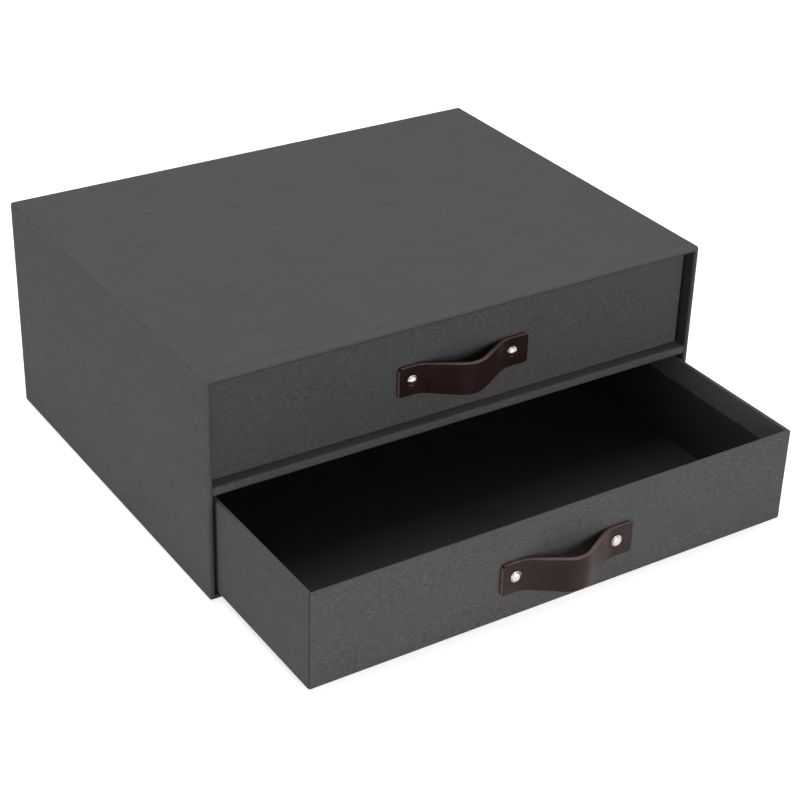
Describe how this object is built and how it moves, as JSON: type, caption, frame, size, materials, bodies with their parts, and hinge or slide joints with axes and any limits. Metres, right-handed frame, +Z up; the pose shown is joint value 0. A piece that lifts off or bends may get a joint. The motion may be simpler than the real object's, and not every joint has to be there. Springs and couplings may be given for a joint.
{
  "type": "file box with drawers",
  "caption": "Rigid board file box covered in grey paper, with a shelf between stacked pull-out drawers, each with a bowed leather strap handle on domed rivets.",
  "frame": {"origin": "centre of the face that the box rests on", "axes": "+X to the right as seen from the front, +Y to the back, +Z up; the drawers pull out towards -Y"},
  "size_m": [0.335, 0.3787, 0.141],
  "materials": {
    "greyboard": "uncoated grey board",
    "cover_paper": "matt, with a fine linen emboss",
    "lining_paper": "matt black",
    "strap_leather": "dark brown, semi-matt, with a lighter cut edge",
    "rivet_metal": "bright nickel plate"
  },
  "bodies": {
    "case": {"case_bottom_board": "greyboard", "case_top_board": "greyboard", "case_left_board": "greyboard", "case_right_board": "greyboard", "case_back_board": "greyboard", "case_cover": "cover_paper", "case_base_sheet": "cover_paper", "case_back_sheet": "cover_paper", "case_lining": "lining_paper", "shelf_lower_board": "greyboard", "shelf_upper_board": "greyboard", "shelf_cover": "cover_paper"},
    "lower_drawer": {"lower_drawer_base_board": "greyboard", "lower_drawer_front_board": "greyboard", "lower_drawer_back_board": "greyboard", "lower_drawer_left_board": "greyboard", "lower_drawer_right_board": "greyboard", "lower_drawer_cover": "cover_paper", "lower_drawer_lining": "lining_paper", "lower_drawer_base_sheet": "cover_paper", "lower_handle": "strap_leather", "lower_rivet_caps": "rivet_metal", "lower_rivet_posts": "rivet_metal", "lower_rivet_backs": "rivet_metal"},
    "upper_drawer": {"upper_drawer_base_board": "greyboard", "upper_drawer_front_board": "greyboard", "upper_drawer_back_board": "greyboard", "upper_drawer_left_board": "greyboard", "upper_drawer_right_board": "greyboard", "upper_drawer_cover": "cover_paper", "upper_drawer_lining": "lining_paper", "upper_drawer_base_sheet": "cover_paper", "upper_handle": "strap_leather", "upper_rivet_caps": "rivet_metal", "upper_rivet_posts": "rivet_metal", "upper_rivet_backs": "rivet_metal"}
  },
  "joints": [
    {"name": "lower_drawer_slide", "type": "slide", "parent": "case", "child": "lower_drawer", "axis": [0, -1, 0], "range_m": [-0.1076, 0.0924]},
    {"name": "upper_drawer_slide", "type": "slide", "parent": "case", "child": "upper_drawer", "axis": [0, -1, 0], "range_m": [0, 0.2]}
  ]
}
